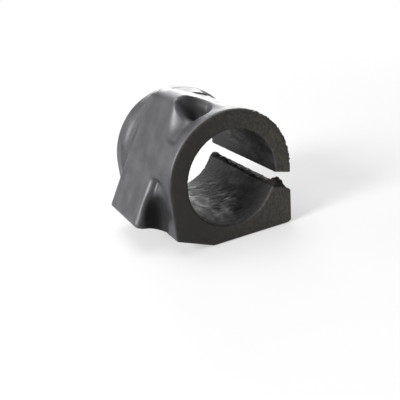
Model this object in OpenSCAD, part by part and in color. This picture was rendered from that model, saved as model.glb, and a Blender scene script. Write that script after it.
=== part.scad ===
// Split sway bar bushing: one rubber moulding round a bore, with a round collar at each end,
// a flat sole below and an angular saddle round its middle that keeps it from turning in its clamp.
// The bore's axis is Y with the origin halfway along it, the slit opens to +X and the sole lies flat.

/* [Bore and slit] */
// Diameter of the bar that the bore grips
bore_d = 28; // [24:0.5:30]
// Length along the bar
length = 38.2; // [36:0.2:60]
// Width of the slit that lets the bushing open over the bar
slit_w = 3.8; // [1:0.1:3.9]
// Angle of the slit below the horizontal
slit_drop = 14; // [8:1:18]
// Width of the lower jaw's flat face before its lead-in slope
jaw_land = 2.9; // [2:0.1:4]
// Slope of the lower jaw's lead-in
lead_in = 20; // [10:1:30]

/* [Collars] */
// Rubber round the bore at the front collar
collar_wall = 5.6; // [5.4:0.1:8]
// Rubber round the bore at the rear collar, which is the larger
rear_wall = 6.5; // [5.4:0.1:9]
// Width of each collar's plain land
collar_l = 4; // [2:0.2:5]
// Depth of the neck between the front collar and the saddle
neck_depth = 0.4; // [0.2:0.1:2]
// Rounding of the collars' outer edges
lip_r = 0.8; // [0.3:0.1:1.5]

/* [Sole] */
// Rubber between the bore and the flat sole
sole_wall = 4.8; // [4:0.1:7]
// Tilt of the sloping underside beside the sole
bevel_tilt = 22; // [18:1:26]
// Rubber between the bore and the sloping underside
bevel_wall = 6.2; // [6:0.1:8]
// Draft of the collars' upright side
side_draft = 3.2; // [1:0.1:5]
// Width of the bevel on the sole's outer edge
edge_run = 1.6; // [0.5:0.1:3]
// Height of the bevel on the sole's outer edge
edge_rise = 0.8; // [0.3:0.1:2]

/* [Saddle] */
// Length of the saddle along the bar
saddle_l = 21.4; // [16:0.2:23]
// Angle of the sloping back facet's face above the horizontal
back_tilt = 27.6; // [22:0.2:32]
// Rubber between the bore and the back facet
back_wall = 5.7; // [5.5:0.1:8]
// Slope of the top facet
top_tilt = 20; // [14:1:26]
// Rubber between the bore and the top facet
top_wall = 5.2; // [4.9:0.1:7]
// Rounding of the saddle's front and rear rims
rim_r = 2.2; // [1:0.1:4]
// Rounding of the ridge between the back and top facets
ridge_r = 5; // [0.5:0.1:7]
// Rounding of the saddle's toe
toe_r = 1; // [0.3:0.1:3]
// Fillet between the saddle and the collars' round
root_r = 2; // [1:0.1:3]
// Fillet between the saddle and the collars' upright side
toe_root_r = 5.4; // [2:0.1:6]

/* [Hidden] */
$fn = 96;
// Segments in each small rounding and in each swell along the bar
arc_steps = 8;
swell_steps = 6;
// Reach of the cutting shapes
reach = 60;
// Radii about the bore's axis
bore_r = bore_d / 2;
collar_r = bore_r + collar_wall;
rear_r = bore_r + rear_wall;
crown_r = bore_r + top_wall;
neck_r = collar_r - neck_depth;
sole_r = bore_r + sole_wall;
bevel_r = bore_r + bevel_wall;
back_r = bore_r + back_wall;
// Directions in which the flat faces look, from +X towards +Z
top_dir = 90 - top_tilt;
back_dir = 180 - back_tilt;
side_dir = 180 + side_draft;
bevel_dir = 270 - bevel_tilt;
sole_dir = 270;
// Places along the bar, from the middle
half_l = length / 2;
half_saddle = saddle_l / 2;
land_end = half_l - collar_l;
neck_y = half_saddle + (land_end - half_saddle) / 4;
crown_y = half_saddle / 2;

function swing(dir) = [cos(dir), sin(dir)];

// Where two flat faces meet, each given by its direction and its distance from the axis
function meet(dir_a, a, dir_b, b) =
    [a * sin(dir_b) - b * sin(dir_a), b * cos(dir_a) - a * cos(dir_b)] / sin(dir_b - dir_a);

// Rounded convex corner between two flat faces
function corner(dir_a, a, dir_b, b, r) =
    let (centre = meet(dir_a, a - r, dir_b, b - r))
    [for (i = [0 : arc_steps]) centre + r * swing(dir_a + (dir_b - dir_a) * i / arc_steps)];

// Smooth swell in radius from one place along the bar to the next
function swell(from, to) =
    [for (i = [1 : swell_steps])
        let (t = i / swell_steps)
        [from.x + (to.x - from.x) * (1 - cos(180 * t)) / 2, from.y + (to.y - from.y) * t]];

// Hollow fillet that rises from a given radius to the saddle's front wall
function root(base, r) =
    [for (i = [0 : arc_steps])
        let (a = 90 * i / arc_steps)
        [base + r - r * cos(a), r * sin(a) - r - half_saddle]];

// Front half of the barrel's outline for a collar of a given radius: lip, land, neck and crown
function collar_half(r) =
    let (lip = [for (i = [0 : arc_steps])
        let (a = 90 * i / arc_steps)
        [r - lip_r + lip_r * sin(a), lip_r - half_l - lip_r * cos(a)]],
        land = [r, -land_end], neck = [neck_r, -neck_y], crown = [crown_r, -crown_y])
    concat(lip, [land], swell(land, neck), swell(neck, crown));

// An outline's front half seen from the other end
function mirrored(half) = [for (i = [len(half) - 1 : -1 : 0]) [half[i].x, -half[i].y]];

// Outline of radius against length, completed by its mirror image past the middle
function both_ends(half) = concat(half, mirrored(half));

// Solid of revolution about the bar's direction
module turned(outline) {
    closed = concat([[0, outline[0].y]], outline, [[0, outline[len(outline) - 1].y]]);
    rotate([-90, 0, 0]) rotate_extrude() polygon(closed);
}

// The same outline carried straight down from the height of the axis
module dropped(outline) {
    far_side = [for (i = [len(outline) - 1 : -1 : 0]) [-outline[i].x, outline[i].y]];
    translate([0, 0, -reach]) linear_extrude(reach) polygon(concat(outline, far_side));
}

// Prism along the bar from an outline seen from the slit's end
module prism(outline, l) {
    rotate([90, 0, 0]) linear_extrude(l, center = true) polygon(outline);
}

// Limits of the foot, seen along the bar, for an upright side at a given distance
function foot_limits(side_r) =
    let (edge_x = collar_r - edge_run)
    [
        meet(90, reach, side_dir, side_r),
        meet(side_dir, side_r, bevel_dir, bevel_r),
        meet(bevel_dir, bevel_r, sole_dir, sole_r),
        [edge_x, -sole_r],
        [reach, (reach - edge_x) * edge_rise / edge_run - sole_r],
        [reach, reach]
    ];

// Collars, neck and crown round the bore, carried down to the sole
module barrel() {
    outline = concat(collar_half(collar_r), mirrored(collar_half(rear_r)));
    intersection() {
        union() {
            turned(outline);
            dropped(outline);
        }
        union() {
            prism(foot_limits(collar_r), length + 2);
            translate([0, half_l + 1, 0]) prism(foot_limits(rear_r), length + 2);
        }
    }
}

// Saddle's outline, with its two upper facets set in by a margin
function saddle_outline(inset, ridge, toe) = concat(
    [[0, 0], (crown_r - inset) * swing(top_dir)],
    corner(top_dir, crown_r - inset, back_dir, back_r - inset, ridge),
    corner(back_dir, back_r - inset, bevel_dir, bevel_r, toe),
    [meet(bevel_dir, bevel_r, sole_dir, sole_r)]
);

// Slab along the bar whose outer face is one facet, with both rims rounded
module facet_slab(dir, r) {
    rim = [for (i = [0 : arc_steps])
        let (a = 90 * i / arc_steps)
        [r - rim_r + rim_r * sin(a), rim_r - half_saddle - rim_r * cos(a)]];
    outline = both_ends(rim);
    inner = [[-reach, half_saddle], [-reach, -half_saddle]];
    rotate([0, -dir, 0]) linear_extrude(2 * reach, center = true) polygon(concat(outline, inner));
}

// Angular block round the back and top of the barrel
module saddle() {
    intersection() {
        prism(saddle_outline(0, ridge_r, toe_r), saddle_l);
        facet_slab(top_dir, crown_r);
        facet_slab(back_dir, back_r);
    }
}

// Hollow fillets that blend the saddle's walls into the barrel
module saddle_roots() {
    intersection() {
        union() {
            turned(both_ends(root(neck_r, root_r)));
            dropped(both_ends(root(neck_r - lip_r, toe_root_r)));
        }
        prism(saddle_outline(rim_r, ridge_r, toe_r), length);
    }
}

// Slit through the wall, with the lower jaw's lead-in
module slit() {
    jaw_x = bore_r + jaw_land;
    rotate([0, slit_drop, 0]) prism([
        [0, slit_w / 2],
        [0, -slit_w / 2],
        [jaw_x, -slit_w / 2],
        [reach, -slit_w / 2 - (reach - jaw_x) * tan(lead_in)],
        [reach, slit_w / 2]
    ], length + 2);
}

module bore() {
    rotate([90, 0, 0]) cylinder(r = bore_r, h = length + 2, center = true);
}

// The whole rubber moulding
module bushing() {
    color("#2b2a28") difference() {
        union() {
            barrel();
            saddle();
            saddle_roots();
        }
        bore();
        slit();
    }
}

bushing();
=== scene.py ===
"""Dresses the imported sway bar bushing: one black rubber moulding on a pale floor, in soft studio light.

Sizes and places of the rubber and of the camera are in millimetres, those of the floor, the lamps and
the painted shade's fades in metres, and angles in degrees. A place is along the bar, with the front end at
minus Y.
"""

import logging
import math
from dataclasses import dataclass, field
from enum import Enum
from typing import Union

import bpy
import numpy as np
from mathutils import Matrix, Vector, noise

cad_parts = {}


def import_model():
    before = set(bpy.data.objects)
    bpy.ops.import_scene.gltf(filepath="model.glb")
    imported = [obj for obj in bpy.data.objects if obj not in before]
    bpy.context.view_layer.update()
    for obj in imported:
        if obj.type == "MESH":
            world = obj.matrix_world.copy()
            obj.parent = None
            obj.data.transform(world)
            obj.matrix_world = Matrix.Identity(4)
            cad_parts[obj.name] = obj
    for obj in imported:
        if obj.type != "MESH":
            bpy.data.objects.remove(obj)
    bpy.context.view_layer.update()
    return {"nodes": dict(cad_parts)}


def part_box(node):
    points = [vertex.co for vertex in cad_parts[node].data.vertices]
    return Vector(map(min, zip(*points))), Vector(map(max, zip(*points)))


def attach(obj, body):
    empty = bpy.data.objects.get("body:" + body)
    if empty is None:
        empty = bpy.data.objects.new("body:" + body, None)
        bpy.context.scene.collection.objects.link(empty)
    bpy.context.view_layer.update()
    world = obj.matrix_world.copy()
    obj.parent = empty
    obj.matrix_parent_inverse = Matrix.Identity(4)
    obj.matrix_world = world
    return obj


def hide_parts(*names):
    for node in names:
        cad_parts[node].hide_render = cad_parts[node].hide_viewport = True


LOG = logging.getLogger("bushing")

Span = tuple[float, float]
PlaceAndRadius = tuple[float, float]
Triple = tuple[float, float, float]
Colour = tuple[float, float, float, float]
Source = Union[bpy.types.NodeSocket, float, Colour]

# One millimetre in metres
MM = 0.001
# Radius of the bore, and the least distance from its axis of the outer skin, in millimetres
BORE_RADIUS = 14.0
OUTER_SKIN = 16.6
# Angle of the slit below the horizontal, in degrees
SLIT_DROP = 14.0
# Share of a soft form's reach over which it keeps its full depth
CORE_SHARE = 0.15
# How a ripple's layers of detail fade, and how much finer each is than the one before
LAYER_FADE = 1.0
LAYER_STEP = 2.0
# Least radius that a vertex is scaled from, in millimetres
LEAST_RADIUS = 1e-6
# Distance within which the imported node's doubled vertices are merged, in metres
WELD_DISTANCE = 1e-6
WHITE: Colour = (1.0, 1.0, 1.0, 1.0)


class Region(Enum):
    """Regions of the moulding that wear and shine differently, and the recesses that carry painted shade,
    by the name of their mask.
    """

    END = "end_face"
    BORE = "bore_wall"
    FLASH = "mould_flash"
    SHADED_RECESS = "recess"


class Bound(Enum):
    """Side of an outline on which the skin is kept."""

    WITHIN = "drawn in to the outline"
    BEYOND = "filled out to the outline"


class MixKind(Enum):
    """What a Mix node mixes: its data type, and the numbers of its two inputs and its output."""

    COLOUR = ("RGBA", 6, 7, 2)
    VALUE = ("FLOAT", 2, 3, 0)


def smooth_step(value: np.ndarray, low: float, high: float) -> np.ndarray:
    """Eases a value from 0 at one limit to 1 at the other.

    Args:
        value: The values to ease.
        low: Where the result is 0.
        high: Where the result is 1.

    Returns:
        The eased values, from 0 to 1.
    """
    share = np.clip((value - low) / (high - low), 0.0, 1.0)
    return share * share * (3.0 - 2.0 * share)


def window(value: np.ndarray, low: float, high: float, ease: float) -> np.ndarray:
    """Gives 1 between two limits and eases to 0 outside them.

    Args:
        value: The values to test.
        low: Lower limit of the full effect.
        high: Upper limit of the full effect.
        ease: Distance outside a limit over which the effect fades.

    Returns:
        The weight of each value, from 0 to 1.
    """
    return smooth_step(value, low - ease, low) * (1.0 - smooth_step(value, high, high + ease))


def ripple(points: np.ndarray, chosen: np.ndarray, pitch: float, octaves: int = 3) -> np.ndarray:
    """Samples a repeatable noise at some of the points.

    Args:
        points: All points, in millimetres.
        chosen: True for the points to sample; the others stay at 0.
        pitch: Size of the largest ripples, in millimetres.
        octaves: Number of layers of detail.

    Returns:
        One value from about -1 to 1 for each point.
    """
    values = np.zeros(len(points))
    for index in np.nonzero(chosen)[0]:
        place = Vector(points[index] / pitch)
        values[index] = noise.fractal(place, LAYER_FADE, LAYER_STEP, octaves)
    return values


@dataclass
class Skin:
    """Vertices of the moulding in millimetres, with their place round the bore and their regions."""

    points: np.ndarray
    normals: np.ndarray
    radius: np.ndarray = field(init=False)
    angle: np.ndarray = field(init=False)
    masks: dict[Region, np.ndarray] = field(init=False)

    def __post_init__(self) -> None:
        """Measures the vertices, which are in no region yet."""
        self.masks = {region: np.zeros(len(self.points)) for region in Region}
        self.measure()

    @property
    def along(self) -> np.ndarray:
        """Place of each vertex along the bar, from the middle."""
        return self.points[:, 1]

    def measure(self) -> None:
        """Works out each vertex's distance and direction from the bore's axis."""
        self.radius = np.hypot(self.points[:, 0], self.points[:, 2])
        self.angle = np.degrees(np.arctan2(self.points[:, 2], self.points[:, 0])) % 360.0

    def set_radius(self, radius: np.ndarray) -> None:
        """Moves each vertex straight in or out to a new distance from the axis.

        Args:
            radius: The new distances, in millimetres.
        """
        share = radius / np.maximum(self.radius, LEAST_RADIUS)
        self.points[:, 0] *= share
        self.points[:, 2] *= share
        self.radius = radius

    def draw_to(self, radius: np.ndarray, weight: np.ndarray) -> None:
        """Moves each vertex by a share of the way to a distance from the axis, 0 to 1 by its weight."""
        self.set_radius(self.radius + weight * (radius - self.radius))

    def outside(self) -> np.ndarray:
        """Gives True for each vertex on the outer skin."""
        return self.radius > OUTER_SKIN

    def mark_painted_shade(self, weight: np.ndarray, full_at: float) -> None:
        """Adds a hollow to the recesses, whose colour is darkened with painted shade.

        Args:
            weight: How far each vertex is pressed in, from 0 to 1.
            full_at: Weight from which the hollow's painted shade is as dark as it gets.
        """
        mark = smooth_step(weight, 0.0, full_at)
        self.masks[Region.SHADED_RECESS] = np.maximum(self.masks[Region.SHADED_RECESS], mark)


@dataclass(frozen=True)
class Sector:
    """Range of directions round the bore, in degrees from +X towards +Z, with soft ends."""

    low: float
    high: float
    ease: float

    def weight(self, skin: Skin) -> np.ndarray:
        """Gives 1 for each vertex in the sector, easing to 0 outside it."""
        return window(skin.angle, self.low, self.high, self.ease)


class Form:
    """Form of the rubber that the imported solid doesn't have."""

    def press(self, skin: Skin) -> None:
        """Presses the form into the skin."""
        raise NotImplementedError


@dataclass(frozen=True)
class Dimple(Form):
    """Soft oval hollow pressed into the outer skin down to a given distance from the axis, with painted
    shade in it.
    """

    angle: float
    place: float
    half_angle: float
    half_length: float
    floor: float
    shade_full_at: float = 0.7

    def press(self, skin: Skin) -> None:
        """Presses the hollow into the skin.

        Args:
            skin: The moulding's vertices.
        """
        across = (skin.angle - self.angle) / self.half_angle
        along = (skin.along - self.place) / self.half_length
        weight = 1.0 - smooth_step(np.hypot(across, along), CORE_SHARE, 1.0)
        weight = weight * skin.outside()
        skin.mark_painted_shade(weight, self.shade_full_at)
        skin.draw_to(np.minimum(skin.radius, self.floor), weight)


@dataclass(frozen=True)
class Pocket(Form):
    """Soft push of the outer skin round a point, with painted shade in it."""

    centre: Triple
    reach: Triple
    push: Triple
    shade_full_at: float = 0.3

    def press(self, skin: Skin) -> None:
        """Pushes the skin.

        Args:
            skin: The moulding's vertices.
        """
        away = np.linalg.norm((skin.points - np.array(self.centre)) / np.array(self.reach), axis=1)
        weight = (1.0 - smooth_step(away, CORE_SHARE, 1.0)) * skin.outside()
        skin.mark_painted_shade(weight, self.shade_full_at)
        skin.points += weight[:, None] * np.array(self.push)
        skin.measure()


@dataclass(frozen=True)
class RunOut(Form):
    """Stretch where a flat facet of the saddle passes evenly into the round of the front collar.

    The facet is given by the direction it faces and its distance from the bore's axis.
    """

    sector: Sector
    facet_end: float
    facet_angle: float = 152.4
    facet_distance: float = 19.7
    collar_radius: float = 19.6
    collar_end: float = -16.6
    front_ease: float = 0.8
    rear_ease: float = 0.8
    widest_turn: float = 40.0

    def press(self, skin: Skin) -> None:
        """Brings the skin to the even passage.

        Args:
            skin: The moulding's vertices.
        """
        turn = np.radians(np.clip(skin.angle - self.facet_angle, -self.widest_turn, self.widest_turn))
        facet = self.facet_distance / np.cos(turn)
        share = smooth_step(skin.along, self.collar_end, self.facet_end)
        target = self.collar_radius + share * (facet - self.collar_radius)
        weight = self.sector.weight(skin)
        weight = weight * smooth_step(skin.along, self.collar_end - self.front_ease, self.collar_end)
        weight = weight * (1.0 - smooth_step(skin.along, self.facet_end, self.facet_end + self.rear_ease))
        skin.draw_to(target, weight * skin.outside())


@dataclass(frozen=True)
class Outline(Form):
    """Sector of the outer skin kept on one side of a line of place along the bar against radius."""

    sector: Sector
    bound: Bound
    line: tuple[PlaceAndRadius, ...]

    def press(self, skin: Skin) -> None:
        """Draws the skin in or fills it out to the line.

        Args:
            skin: The moulding's vertices.
        """
        places, radii = zip(*self.line)
        outline = np.interp(skin.along, places, radii)
        nearer = np.minimum if self.bound is Bound.WITHIN else np.maximum
        skin.draw_to(nearer(skin.radius, outline), self.sector.weight(skin) * skin.outside())


@dataclass(frozen=True)
class RaggedEdge(Form):
    """Ragged outer edge of the front face, where the mould's flash was torn off.

    It is rough to the full depth in front of full_place and beyond full_radius, and fades to nothing
    at last_place and first_radius. The loss is what the edge lacks all along.
    """

    sector: Sector = Sector(4.0, 66.0, 6.0)
    full_place: float = -18.6
    last_place: float = -17.4
    first_radius: float = 18.4
    full_radius: float = 19.2
    depth: float = 0.5
    loss: float = 0.1
    pitch: float = 0.9

    def press(self, skin: Skin) -> None:
        """Roughens the edge.

        Args:
            skin: The moulding's vertices.
        """
        weight = self.sector.weight(skin)
        weight = weight * (1.0 - smooth_step(skin.along, self.full_place, self.last_place))
        weight = weight * smooth_step(skin.radius, self.first_radius, self.full_radius)
        rough = ripple(skin.points, weight > 0, self.pitch)
        skin.set_radius(skin.radius + weight * (self.depth * rough - self.loss))


@dataclass(frozen=True)
class BoreWrinkles(Form):
    """Slanting wrinkles in the bore's wall, deepest in its lower half, from pulling the core out."""

    lower: Sector = Sector(185.0, 350.0, 20.0)
    upper_share: float = 0.35
    depth: float = 0.26
    slant: float = 0.9
    fold_width: float = 3.2
    fold_length: float = 9.0
    pitch: float = 0.55
    wall_limit: float = 14.6

    def press(self, skin: Skin) -> None:
        """Wrinkles the wall, always away from the bar.

        Args:
            skin: The moulding's vertices.
        """
        arc = np.radians(skin.angle) * BORE_RADIUS
        turned = np.column_stack((
            (arc + self.slant * skin.along) / self.fold_width,
            (skin.along - self.slant * arc) / self.fold_length,
            np.zeros(len(arc)),
        ))
        folds = ripple(turned, skin.radius < self.wall_limit, self.pitch)
        share = self.upper_share + (1.0 - self.upper_share) * self.lower.weight(skin)
        skin.set_radius(skin.radius + self.depth * np.abs(folds) * share)


@dataclass(frozen=True)
class TornJaw(Form):
    """Uneven surface of the torn flash along the lower jaw, between the two end faces."""

    depth: float = 0.28
    pitch: float = 1.1
    least_flash: float = 0.05
    last_place: float = 18.9

    def press(self, skin: Skin) -> None:
        """Roughens the flash.

        Args:
            skin: The moulding's vertices.
        """
        flash = skin.masks[Region.FLASH] * (np.abs(skin.along) < self.last_place)
        rough = ripple(skin.points, flash > self.least_flash, self.pitch)
        skin.points += (flash * self.depth * rough)[:, None] * skin.normals
        skin.measure()


@dataclass(frozen=True)
class FlashLump:
    """Curl of torn flash on the lower jaw, in millimetres along the jaw, above it and along the bar."""

    run: float
    rise: float
    along: float
    size: Triple

    def build(self) -> bpy.types.Object:
        """Makes the lump as a squashed ball that bites into the jaw.

        Returns:
            The lump's object, placed in its mesh.
        """
        drop = math.radians(SLIT_DROP)
        x = self.run * math.cos(drop) + self.rise * math.sin(drop)
        z = -self.run * math.sin(drop) + self.rise * math.cos(drop)
        bpy.ops.object.select_all(action="DESELECT")
        bpy.ops.mesh.primitive_ico_sphere_add(subdivisions=3, radius=MM)
        lump = bpy.context.object
        lump.scale = self.size
        lump.rotation_euler = (0.0, drop, 0.0)
        lump.location = (x * MM, self.along * MM, z * MM)
        bpy.ops.object.transform_apply(location=True, rotation=True, scale=True)
        return lump


@dataclass(frozen=True)
class RegionLimits:
    """Where the end faces, the bore's wall and the jaw's flash begin and end.

    The facings are the least and full share of a vertex's normal that points along the bar.
    """

    end_places: Span = (18.55, 18.9)
    end_facings: Span = (0.5, 0.85)
    bore_radii: Span = (14.1, 14.5)
    jaw_rise: float = -1.9
    flash_depth: float = 0.55
    flash_top: float = 1.0
    flash_ease: float = 0.3
    flash_runs: Span = (13.4, 13.7)

    def mark(self, skin: Skin) -> None:
        """Gives each vertex its weight in the three regions.

        Args:
            skin: The moulding's vertices.
        """
        ends = smooth_step(np.abs(skin.along), *self.end_places)
        ends = ends * smooth_step(np.abs(skin.normals[:, 1]), *self.end_facings)
        bore = 1.0 - smooth_step(skin.radius, *self.bore_radii)
        drop = math.radians(SLIT_DROP)
        rise = skin.points[:, 0] * math.sin(drop) + skin.points[:, 2] * math.cos(drop)
        run = skin.points[:, 0] * math.cos(drop) - skin.points[:, 2] * math.sin(drop)
        flash = window(rise, self.jaw_rise - self.flash_depth, self.flash_top, self.flash_ease)
        skin.masks[Region.END] = ends
        skin.masks[Region.BORE] = bore * (1.0 - ends)
        skin.masks[Region.FLASH] = flash * smooth_step(run, *self.flash_runs)


@dataclass
class Moulding:
    """The whole rubber moulding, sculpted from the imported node.

    The voxel is the size of its even faces. A face whose vertices are more than flash_half flash gets
    the flash's finish.
    """

    voxel: float = 0.37
    smoothing: float = 0.5
    smooth_rounds: int = 3
    flash_half: float = 0.5
    limits: RegionLimits = RegionLimits()
    forms: tuple[Form, ...] = (
        # Sloping scoop from the back facet, at the front of the ridge
        RunOut(
            Sector(117.0, 142.0, 6.0), facet_end=-8.0, collar_radius=19.1, collar_end=-13.8, front_ease=3.0
        ),
        # Back facet flush with the front collar
        RunOut(Sector(144.0, 170.0, 6.0), facet_end=-9.4),
        # Front end of the top facet
        RunOut(Sector(70.0, 92.0, 9.0), facet_end=-6.0, facet_angle=70.0, facet_distance=19.2),
        # Filled groove in front of the rear collar, under the top facet
        Outline(Sector(70.0, 100.0, 10.0), Bound.BEYOND, (
            (-19.1, 0.0), (6.0, 0.0), (8.0, 19.7), (11.0, 20.0), (14.0, 20.3), (16.0, 20.4), (17.0, 0.0),
            (19.1, 0.0),
        )),
        # Shallow waist behind the front collar, on the slit's side
        Outline(Sector(40.0, 74.0, 16.0), Bound.WITHIN, (
            (-19.1, 21.0), (-15.4, 19.6), (-13.2, 19.1), (-8.0, 18.4), (-5.2, 18.2), (-2.3, 18.5),
            (0.9, 18.9), (4.1, 19.3), (7.4, 19.6), (10.7, 21.0), (19.1, 21.0),
        )),
        # Lower rear end of the ridge
        Outline(Sector(100.0, 124.0, 14.0), Bound.WITHIN, (
            (-19.1, 25.0), (-1.0, 25.0), (7.5, 24.0), (10.7, 22.0), (12.0, 25.0), (19.1, 25.0),
        )),
        # Deep dimple above the scoop, with painted shade
        Dimple(angle=107.0, place=-11.4, half_angle=14.0, half_length=4.8, floor=16.9),
        # Deeper pocket between the toe and the front collar, with painted shade
        Pocket(centre=(-21.8, -12.2, -9.5), reach=(4.5, 3.8, 10.0), push=(2.3, 1.7, 0.0)),
        RaggedEdge(),
        BoreWrinkles(),
        TornJaw(),
    )
    lumps: tuple[FlashLump, ...] = (
        FlashLump(run=14.9, rise=-1.2, along=-17.9, size=(1.2, 1.1, 1.4)),
        FlashLump(run=15.9, rise=-0.9, along=-17.8, size=(1.1, 1.1, 1.2)),
        FlashLump(run=16.9, rise=-1.4, along=-18.0, size=(0.9, 0.9, 1.0)),
        FlashLump(run=14.3, rise=-1.8, along=-16.0, size=(0.7, 1.6, 0.8)),
        FlashLump(run=17.9, rise=-2.3, along=-18.3, size=(0.8, 0.6, 0.7)),
        FlashLump(run=14.7, rise=-2.0, along=15.9, size=(1.1, 3.1, 1.3)),
        FlashLump(run=14.5, rise=-2.0, along=10.8, size=(0.8, 3.4, 1.1)),
        FlashLump(run=14.3, rise=-2.1, along=4.0, size=(0.6, 2.6, 0.5)),
    )

    def build(self, node: bpy.types.Object) -> bpy.types.Object:
        """Args:
            node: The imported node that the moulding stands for.

        Returns:
            The finished moulding.
        """
        piece = self.block(node)
        self.sculpt(piece)
        self.shade(piece)
        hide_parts("bushing")
        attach(piece, "root")
        LOG.info("moulding: %d faces", len(piece.data.polygons))
        return piece

    def block(self, node: bpy.types.Object) -> bpy.types.Object:
        """Joins the node's shape and the flash into one even mesh.

        Args:
            node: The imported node.

        Returns:
            The new object with even faces all over.
        """
        lumps = [lump.build() for lump in self.lumps]
        piece = bpy.data.objects.new("moulding", node.data.copy())
        bpy.context.scene.collection.objects.link(piece)
        bpy.ops.object.select_all(action="DESELECT")
        bpy.context.view_layer.objects.active = piece
        piece.select_set(True)
        bpy.ops.object.mode_set(mode="EDIT")
        bpy.ops.mesh.select_all(action="SELECT")
        bpy.ops.mesh.remove_doubles(threshold=WELD_DISTANCE)
        bpy.ops.object.mode_set(mode="OBJECT")
        for lump in lumps:
            lump.select_set(True)
        bpy.ops.object.join()
        bpy.ops.object.modifier_add(type="REMESH")
        piece.modifiers[-1].mode = "VOXEL"
        piece.modifiers[-1].voxel_size = self.voxel * MM
        bpy.ops.object.modifier_apply(modifier=piece.modifiers[-1].name)
        bpy.ops.object.modifier_add(type="SMOOTH")
        piece.modifiers[-1].factor = self.smoothing
        piece.modifiers[-1].iterations = self.smooth_rounds
        bpy.ops.object.modifier_apply(modifier=piece.modifiers[-1].name)
        return piece

    def sculpt(self, piece: bpy.types.Object) -> None:
        """Presses the forms into the mesh, in their order, and writes the regions' masks.

        Args:
            piece: The moulding.
        """
        mesh = piece.data
        count = len(mesh.vertices)
        places = np.empty(count * 3)
        mesh.vertices.foreach_get("co", places)
        normals = np.empty(count * 3)
        mesh.vertex_normals.foreach_get("vector", normals)
        skin = Skin(places.reshape(-1, 3) / MM, normals.reshape(-1, 3))
        self.limits.mark(skin)
        for form in self.forms:
            form.press(skin)
        mesh.vertices.foreach_set("co", (skin.points * MM).ravel())
        for region, values in skin.masks.items():
            layer = mesh.attributes.new(region.value, "FLOAT", "POINT")
            layer.data.foreach_set("value", values.astype(np.float32))
        mesh.update()

    def shade(self, piece: bpy.types.Object) -> None:
        """Gives the moulding its rubber, the flash its own finish with painted shade, and both smooth
        shading.

        Args:
            piece: The moulding.
        """
        piece.data.materials.clear()
        piece.data.materials.append(MouldedRubber().material())
        piece.data.materials.append(TornFlashInShade().material())
        mask = np.empty(len(piece.data.vertices), dtype=np.float32)
        piece.data.attributes[Region.FLASH.value].data.foreach_get("value", mask)
        for face in piece.data.polygons:
            face.material_index = int(mask[list(face.vertices)].mean() > self.flash_half)
        bpy.ops.object.select_all(action="DESELECT")
        piece.select_set(True)
        bpy.context.view_layer.objects.active = piece
        bpy.ops.object.shade_smooth()


@dataclass(frozen=True)
class Grain:
    """Noise that follows the object: repeats in each metre, layers of detail and scale along each axis."""

    scale: float
    detail: float
    stretch: Triple = (1.0, 1.0, 1.0)


@dataclass(frozen=True)
class Tones:
    """Two tones of one surface, and the noise's levels at which each is reached."""

    dark: Colour
    pale: Colour
    levels: Span


@dataclass(frozen=True)
class Sheen:
    """Least and most roughness of one surface, and the noise's levels at which each is reached."""

    roughness: Span
    levels: Span = (0.3, 0.7)


@dataclass(frozen=True)
class ShadeFade:
    """Painted shade across the object: axis, value left, and where it is darkest and unchanged in metres.
    """

    axis: str
    level: float
    places: Span


@dataclass(frozen=True)
class Relief:
    """Fine relief of a surface: its strength, and its depth in metres."""

    strength: float
    depth: float


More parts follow.
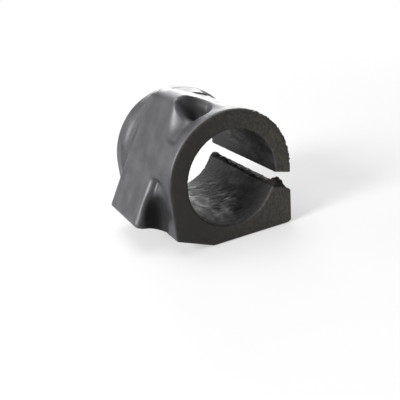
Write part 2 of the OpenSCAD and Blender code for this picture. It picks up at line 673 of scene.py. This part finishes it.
@dataclass(frozen=True)
class NodeSheet:
    """The nodes of a material or a world, with the steps that add to them."""

    tree: bpy.types.NodeTree

    def feed(self, socket: bpy.types.NodeSocket, source: Source) -> None:
        """Links an output to an input, or sets the input's own value.

        Args:
            socket: The input.
            source: The output, or the value.
        """
        if isinstance(source, bpy.types.NodeSocket):
            self.tree.links.new(source, socket)
        else:
            socket.default_value = source

    def add(self, kind: str, **sources: Source) -> bpy.types.Node:
        """Adds a node and fills its inputs.

        Args:
            kind: Blender's name for the kind of node.
            sources: Output or value for each input, by the input's name.

        Returns:
            The new node.
        """
        node = self.tree.nodes.new(kind)
        for name, source in sources.items():
            self.feed(node.inputs[name], source)
        return node

    def noise(self, grain: Grain) -> bpy.types.NodeSocket:
        """Adds a noise that follows the object.

        Args:
            grain: The noise's sizes.

        Returns:
            The noise's output.
        """
        coordinates = self.add("ShaderNodeTexCoord")
        mapping = self.add("ShaderNodeMapping", Vector=coordinates.outputs["Object"], Scale=grain.stretch)
        place = mapping.outputs["Vector"]
        texture = self.add("ShaderNodeTexNoise", Vector=place, Scale=grain.scale, Detail=grain.detail)
        return texture.outputs["Fac"]

    def spread(self, value: Source, levels: Span, span: Span = (0.0, 1.0)) -> bpy.types.NodeSocket:
        """Stretches a value's range.

        Args:
            value: The output to stretch.
            levels: Values that become the new low and high.
            span: The new low and high.

        Returns:
            The stretched output.
        """
        node = self.add("ShaderNodeMapRange", Value=value)
        self.feed(node.inputs["From Min"], levels[0])
        self.feed(node.inputs["From Max"], levels[1])
        self.feed(node.inputs["To Min"], span[0])
        self.feed(node.inputs["To Max"], span[1])
        return node.outputs["Result"]

    def mix(self, kind: MixKind, share: Source, base: Source, top: Source) -> bpy.types.NodeSocket:
        """Mixes two colours or two values.

        Args:
            kind: What is mixed.
            share: Share of the top one, from 0 to 1.
            base: Colour or value where the share is 0.
            top: Colour or value where the share is 1.

        Returns:
            The mixed output.
        """
        data_type, first, second, result = kind.value
        node = self.add("ShaderNodeMix")
        node.data_type = data_type
        self.feed(node.inputs[0], share)
        self.feed(node.inputs[first], base)
        self.feed(node.inputs[second], top)
        return node.outputs[result]

    def over(self, kind: MixKind, region: Region, base: Source, top: Source) -> bpy.types.NodeSocket:
        """Lays one colour or value over another in a region.

        Args:
            kind: What is laid over.
            region: The region, whose mask the mesh holds.
            base: Colour or value outside the region.
            top: Colour or value inside it.

        Returns:
            The combined output.
        """
        node = self.add("ShaderNodeAttribute")
        node.attribute_name = region.value
        return self.mix(kind, node.outputs["Fac"], base, top)

    def toned(self, pattern: Source, tones: Tones) -> bpy.types.NodeSocket:
        """Mixes two tones by a pattern."""
        return self.mix(MixKind.COLOUR, self.spread(pattern, tones.levels), tones.dark, tones.pale)

    def rough(self, pattern: Source, sheen: Sheen) -> bpy.types.NodeSocket:
        """Varies a roughness by a pattern."""
        return self.spread(pattern, sheen.levels, sheen.roughness)

    def darker(self, colour: Source, level: float) -> bpy.types.NodeSocket:
        """Brings a colour's value down to a share of itself."""
        return self.add("ShaderNodeHueSaturation", Color=colour, Value=level).outputs["Color"]

    def shade_across(self, colour: Source, fade: ShadeFade) -> bpy.types.NodeSocket:
        """Darkens a colour gradually across the object, as painted shade.

        Args:
            colour: The colour's output.
            fade: How it darkens.

        Returns:
            The graded colour's output.
        """
        coordinates = self.add("ShaderNodeTexCoord")
        split = self.add("ShaderNodeSeparateXYZ", Vector=coordinates.outputs["Object"])
        share = self.spread(split.outputs[fade.axis], fade.places)
        return self.mix(MixKind.COLOUR, share, self.darker(colour, fade.level), colour)

    def raised(self, height: Source, relief: Relief) -> bpy.types.NodeSocket:
        """Turns a pattern into a fine relief.

        Args:
            height: The pattern.
            relief: The relief's strength and depth.

        Returns:
            The relief's normal.
        """
        node = self.add("ShaderNodeBump", Height=height, Strength=relief.strength, Distance=relief.depth)
        return node.outputs["Normal"]

    def show(self, end: str, share: Source, lit: Source, seen: Source) -> None:
        """Lets the camera see another shader than the one that lights the object.

        Args:
            end: Name of the output node.
            share: Share of the shader that is seen.
            lit: The shader that lights.
            seen: The shader that the camera sees.
        """
        node = self.add("ShaderNodeMixShader")
        for socket, source in zip(node.inputs, (share, lit, seen)):
            self.feed(socket, source)
        self.feed(self.tree.nodes[end].inputs["Surface"], node.outputs[0])

    def camera_ray(self) -> bpy.types.NodeSocket:
        """Gives 1 for what the camera sees directly and 0 for other light."""
        return self.add("ShaderNodeLightPath").outputs["Is Camera Ray"]


@dataclass(frozen=True)
class Finish:
    """A surface's finish, with the name of its material."""

    name: str

    def material(self) -> bpy.types.Material:
        """Builds the finish's material.

        Returns:
            The new material.
        """
        material = bpy.data.materials.new(self.name)
        material.use_nodes = True
        sheet = NodeSheet(material.node_tree)
        shader = material.node_tree.nodes["Principled BSDF"]
        self.lay(sheet, shader)
        LOG.info("finish %s: %d nodes", self.name, len(material.node_tree.nodes))
        return material

    def lay(self, sheet: NodeSheet, shader: bpy.types.Node) -> None:
        """Lays the finish's nodes."""
        raise NotImplementedError


@dataclass(frozen=True)
class MouldedRubber(Finish):
    """Black rubber as it leaves the mould: satin outside, matt on the ends and scuffed in the bore, with
    painted shade in the recesses and painted shade fading across the end faces and the bore.
    """

    name: str = "moulded_rubber"
    ior: float = 1.5
    cloud: Grain = Grain(180.0, 4.0)
    grain: Grain = Grain(1500.0, 3.0)
    scuff: Grain = Grain(420.0, 5.0, (1.0, 0.35, 1.0))
    skin_tones: Tones = Tones((0.018, 0.018, 0.020, 1.0), (0.036, 0.036, 0.039, 1.0), (0.38, 0.68))
    end_tones: Tones = Tones((0.014, 0.012, 0.010, 1.0), (0.066, 0.058, 0.045, 1.0), (0.35, 0.70))
    bore_tones: Tones = Tones((0.020, 0.020, 0.021, 1.0), (0.078, 0.078, 0.083, 1.0), (0.42, 0.68))
    # Painted shade: the recesses' colour is the skin's, brought down to this share of its value
    recess_shade_level: float = 0.03
    # Painted shade: the end faces darker towards minus X, the bore's wall darker towards the front end
    end_shade_fade: ShadeFade = ShadeFade("X", 0.25, (-0.012, 0.018))
    bore_shade_fade: ShadeFade = ShadeFade("Y", 0.08, (-0.014, 0.010))
    skin_sheen: Sheen = Sheen((0.36, 0.50))
    recess_sheen: Sheen = Sheen((0.86, 0.96))
    end_sheen: Sheen = Sheen((0.62, 0.80))
    bore_sheen: Sheen = Sheen((0.50, 0.82), (0.35, 0.7))
    relief: Relief = Relief(0.22, 0.00012)

    def lay(self, sheet: NodeSheet, shader: bpy.types.Node) -> None:
        """Lays the skin first, then the recesses' painted shade, the end faces and the bore's wall over it.

        Args:
            sheet: The material's nodes.
            shader: The material's shader.
        """
        cloud = sheet.noise(self.cloud)
        grain = sheet.noise(self.grain)
        scuff = sheet.noise(self.scuff)
        skin = sheet.toned(cloud, self.skin_tones)
        # Painted shade fades over the end faces and the bore's wall
        ends = sheet.shade_across(sheet.toned(grain, self.end_tones), self.end_shade_fade)
        bore = sheet.shade_across(sheet.toned(scuff, self.bore_tones), self.bore_shade_fade)
        # Painted shade in the recesses
        colour = sheet.over(MixKind.COLOUR, Region.SHADED_RECESS, skin, sheet.darker(skin, self.recess_shade_level))
        colour = sheet.over(MixKind.COLOUR, Region.END, colour, ends)
        colour = sheet.over(MixKind.COLOUR, Region.BORE, colour, bore)
        rough = sheet.rough(cloud, self.skin_sheen)
        rough = sheet.over(MixKind.VALUE, Region.SHADED_RECESS, rough, sheet.rough(cloud, self.recess_sheen))
        rough = sheet.over(MixKind.VALUE, Region.END, rough, sheet.rough(grain, self.end_sheen))
        rough = sheet.over(MixKind.VALUE, Region.BORE, rough, sheet.rough(scuff, self.bore_sheen))
        sheet.feed(shader.inputs["IOR"], self.ior)
        sheet.feed(shader.inputs["Base Color"], colour)
        sheet.feed(shader.inputs["Roughness"], rough)
        sheet.feed(shader.inputs["Normal"], sheet.raised(grain, self.relief))


@dataclass(frozen=True)
class TornFlashInShade(Finish):
    """Torn black flash on the jaw, which shines hardly at all, coloured far darker than the skin as painted
    shade of the jaw's top under the upper jaw.
    """

    name: str = "torn_flash_in_shade"
    shine: float = 0.2
    tear: Grain = Grain(900.0, 4.0)
    # Painted shade: both tones are far darker than the skin's, for the shade on the jaw's top
    tones: Tones = Tones((0.004, 0.0035, 0.003, 1.0), (0.017, 0.014, 0.011, 1.0), (0.40, 0.70))
    sheen: Sheen = Sheen((0.6, 0.85))
    relief: Relief = Relief(0.4, 0.0002)

    def lay(self, sheet: NodeSheet, shader: bpy.types.Node) -> None:
        """Lays one torn pattern for colour, roughness and relief.

        Args:
            sheet: The material's nodes.
            shader: The material's shader.
        """
        tear = sheet.noise(self.tear)
        sheet.feed(shader.inputs["Specular IOR Level"], self.shine)
        sheet.feed(shader.inputs["Base Color"], sheet.toned(tear, self.tones))
        sheet.feed(shader.inputs["Roughness"], sheet.rough(tear, self.sheen))
        sheet.feed(shader.inputs["Normal"], sheet.raised(tear, self.relief))


@dataclass(frozen=True)
class PaleFloor(Finish):
    """Pale matt floor, which the camera sees as white some way from the object.

    The camera sees a share of plain white, which grows from glow_shares[0] near the middle to
    glow_shares[1] at the far place. The rest is the floor's own colour, which takes the shadow.
    """

    name: str = "floor"
    colour: Colour = (0.48, 0.48, 0.48, 1.0)
    roughness: float = 0.95
    glow_places: Span = (0.08, 0.30)
    glow_shares: Span = (0.42, 1.0)

    def lay(self, sheet: NodeSheet, shader: bpy.types.Node) -> None:
        """Lays the floor's own colour and the white that the camera sees.

        Args:
            sheet: The material's nodes.
            shader: The material's shader.
        """
        sheet.feed(shader.inputs["Base Color"], self.colour)
        sheet.feed(shader.inputs["Roughness"], self.roughness)
        coordinates = sheet.add("ShaderNodeTexCoord")
        away = sheet.add("ShaderNodeVectorMath")
        away.operation = "LENGTH"
        sheet.feed(away.inputs[0], coordinates.outputs["Object"])
        share = sheet.add("ShaderNodeMath")
        share.operation = "MULTIPLY"
        sheet.feed(share.inputs[0], sheet.camera_ray())
        sheet.feed(share.inputs[1], sheet.spread(away.outputs["Value"], self.glow_places, self.glow_shares))
        glow = sheet.add("ShaderNodeEmission", Color=WHITE, Strength=1.0)
        sheet.show("Material Output", share.outputs[0], shader.outputs[0], glow.outputs[0])


@dataclass(frozen=True)
class Lamp:
    """Large soft lamp aimed at the object, with its place and width in metres and its power in watts."""

    name: str
    place: Triple
    width: float
    power: float

    def build(self) -> None:
        """Hangs the lamp, out of the camera's sight."""
        data = bpy.data.lights.new(self.name, "AREA")
        data.shape = "DISK"
        data.size = self.width
        data.energy = self.power
        lamp = bpy.data.objects.new(self.name, data)
        bpy.context.scene.collection.objects.link(lamp)
        lamp.location = self.place
        lamp.rotation_euler = (-Vector(self.place)).to_track_quat("-Z", "Y").to_euler()
        lamp.visible_camera = False
        LOG.info("lamp %s: %.1f W", self.name, self.power)


@dataclass(frozen=True)
class Viewpoint:
    """Camera at the photograph's viewing angle: places, lens and sensor in millimetres, roll in degrees."""

    place: Triple = (-75.78, -152.98, 58.55)
    target: Triple = (-3.27, -3.44, -10.83)
    roll: float = -5.014
    lens: float = 53.125
    sensor: float = 36.0
    nearest: float = 10.0

    def build(self) -> None:
        """Places the camera and makes it the scene's."""
        place = Vector(self.place) * MM
        forward = (Vector(self.target) * MM - place).normalized()
        level = forward.cross(Vector((0, 0, 1))).normalized()
        upright = level.cross(forward)
        roll = math.radians(self.roll)
        right = level * math.cos(roll) + upright * math.sin(roll)
        up = upright * math.cos(roll) - level * math.sin(roll)
        data = bpy.data.cameras.new("camera")
        data.lens = self.lens
        data.sensor_width = self.sensor
        data.clip_start = self.nearest * MM
        camera = bpy.data.objects.new("camera", data)
        bpy.context.scene.collection.objects.link(camera)
        turn = Matrix((right, up, -forward)).transposed().to_4x4()
        camera.matrix_world = Matrix.Translation(place) @ turn
        bpy.context.scene.camera = camera
        LOG.info("camera: %.1f mm lens", self.lens)


@dataclass
class Studio:
    """Pale floor, white background, soft lamps and the camera."""

    floor_z: float
    floor_size: float = 8.0
    world_level: float = 0.24
    lamps: tuple[Lamp, ...] = (
        Lamp("left", (-0.58, -0.12, 0.30), width=0.24, power=8.4),
        Lamp("back_left", (-0.40, 0.40, 0.26), width=0.5, power=1.1),
        Lamp("back", (0.28, 0.55, 0.16), width=0.5, power=3.6),
        Lamp("above", (-0.05, 0.10, 0.60), width=0.5, power=3.2),
    )
    viewpoint: Viewpoint = Viewpoint()

    def build(self) -> None:
        """Sets the floor, the light and the camera."""
        self.build_floor()
        self.build_world()
        for lamp in self.lamps:
            lamp.build()
        self.viewpoint.build()
        bpy.context.scene.view_settings.view_transform = "Standard"

    def build_floor(self) -> None:
        """Lays the pale floor under the sole."""
        bpy.ops.object.select_all(action="DESELECT")
        bpy.ops.mesh.primitive_plane_add(size=self.floor_size, location=(0, 0, self.floor_z))
        floor = bpy.context.object
        floor.name = "floor"
        floor.data.materials.append(PaleFloor().material())
        LOG.info("floor: %.1f mm below the bore's axis", -self.floor_z / MM)

    def build_world(self) -> None:
        """Gives a white background that lights the object only softly."""
        world = bpy.data.worlds.new("world")
        bpy.context.scene.world = world
        world.use_nodes = True
        sheet = NodeSheet(world.node_tree)
        soft = world.node_tree.nodes["Background"]
        sheet.feed(soft.inputs["Color"], WHITE)
        sheet.feed(soft.inputs["Strength"], self.world_level)
        white = sheet.add("ShaderNodeBackground", Color=WHITE, Strength=1.0)
        sheet.show("World Output", sheet.camera_ray(), soft.outputs[0], white.outputs[0])


def main() -> None:
    """Loads the frame, dresses the part and sets the studio."""
    logging.basicConfig(level=logging.INFO)
    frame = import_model()
    Moulding().build(frame["nodes"]["bushing"])
    low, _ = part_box("bushing")
    Studio(floor_z=low.z).build()


if __name__ == "__main__":
    main()
